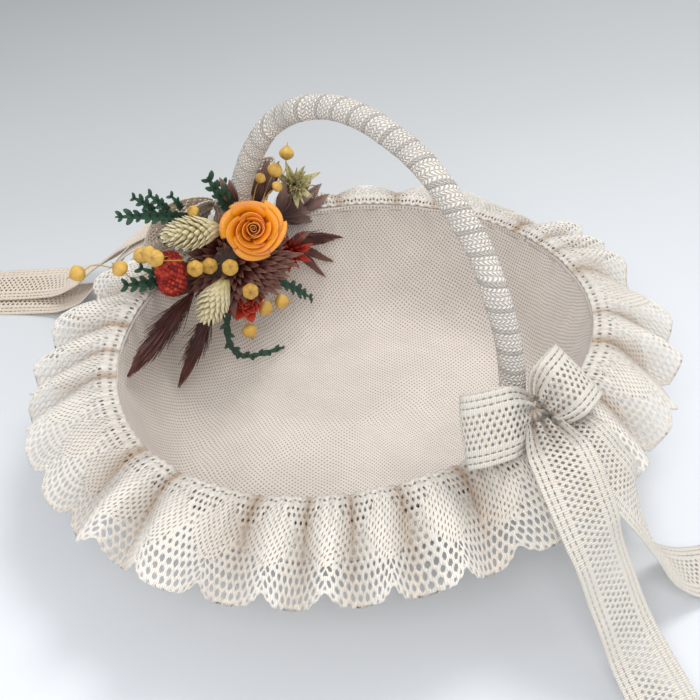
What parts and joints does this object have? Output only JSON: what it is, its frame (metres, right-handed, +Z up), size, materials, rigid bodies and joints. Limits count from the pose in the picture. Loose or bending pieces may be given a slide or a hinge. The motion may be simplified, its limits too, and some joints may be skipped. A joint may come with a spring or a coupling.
{
  "type": "flower girl basket",
  "caption": "Shallow oval fabric-lined basket with a gathered lace ruffle, a wrapped upright handle, ribbon bows and a dried-flower spray.",
  "frame": {"origin": "centre of the flat underside of the base", "axes": "+Z up, +X along the oval's long way, the handle standing in the YZ plane with the flower spray at its +Y foot"},
  "size_m": [0.295, 0.4791, 0.1654],
  "materials": {
    "felt": "matt wool felt",
    "card": "stiff moulded card, matt",
    "linen": "coarse plain-weave linen, matt, with small gaps between the threads",
    "lace": "cotton torchon lace with a scalloped net edge, matt",
    "cotton_tape": "knitted cotton tape, matt and bumpy",
    "steel_wire": "plain drawn wire",
    "lace_ribbon": "narrow cotton lace ribbon with corded edges, matt",
    "rose_petal": "soft preserved petals, satin, deeper orange in the heart",
    "green_stem": "waxed floral tape, matt",
    "pale_seed": "dry papery husks, matt",
    "mist_bloom": "dry papery petals with green bracts, matt",
    "red_bloom": "dry dyed florets, matt",
    "flax_pod": "dry seed pod skin, satin",
    "oak_leaf": "preserved leaf, satin",
    "brown_plume": "fine dry grass hairs, matt",
    "dry_leaf": "dry curled leaf, matt"
  },
  "bodies": {
    "root": {"base_pad": "felt", "spray_backing": "felt", "bowl_shell": "card", "base_board": "card", "lining": "linen", "outer_cover": "linen", "rim_binding": "linen", "handle_sleeve_left": "linen", "handle_sleeve_right": "linen", "lace_ruffle": "lace", "gathering_tape": "cotton_tape", "handle_wrap": "cotton_tape", "rim_wire": "steel_wire", "handle_core": "steel_wire", "bow_wire_left": "steel_wire", "bow_wire_right": "steel_wire", "right_bow_knot": "lace_ribbon", "right_bow_loop_front": "lace_ribbon", "right_bow_loop_back": "lace_ribbon", "right_bow_tail_long": "lace_ribbon", "right_bow_tail_short": "lace_ribbon", "left_bow_knot": "lace_ribbon", "left_bow_loop_front": "lace_ribbon", "left_bow_loop_back": "lace_ribbon", "left_bow_tail_long": "lace_ribbon", "left_bow_tail_short": "lace_ribbon", "rose": "rose_petal", "rose_calyx": "green_stem", "stem_bundle": "green_stem", "canary_grass_upper": "pale_seed", "canary_grass_lower": "pale_seed", "love_in_a_mist": "mist_bloom", "red_bloom_left": "red_bloom", "red_bloom_right": "red_bloom", "red_bloom_front": "red_bloom", "flax_pod_1": "flax_pod", "flax_pod_2": "flax_pod", "flax_pod_3": "flax_pod", "flax_pod_4": "flax_pod", "flax_pod_5": "flax_pod", "flax_pod_6": "flax_pod", "flax_pod_7": "flax_pod", "flax_pod_8": "flax_pod", "flax_pod_9": "flax_pod", "flax_pod_10": "flax_pod", "flax_pod_11": "flax_pod", "flax_pod_12": "flax_pod", "flax_pod_13": "flax_pod", "flax_pod_14": "flax_pod", "oak_leaf_upper_left": "oak_leaf", "oak_leaf_top": "oak_leaf", "oak_leaf_lower_left": "oak_leaf", "oak_leaf_right": "oak_leaf", "curled_tendril": "oak_leaf", "grass_plume_left": "brown_plume", "grass_plume_lower": "brown_plume", "grass_plume_right": "brown_plume", "dry_leaf_upper": "dry_leaf", "dry_leaf_right": "dry_leaf"}
  },
  "joints": []
}
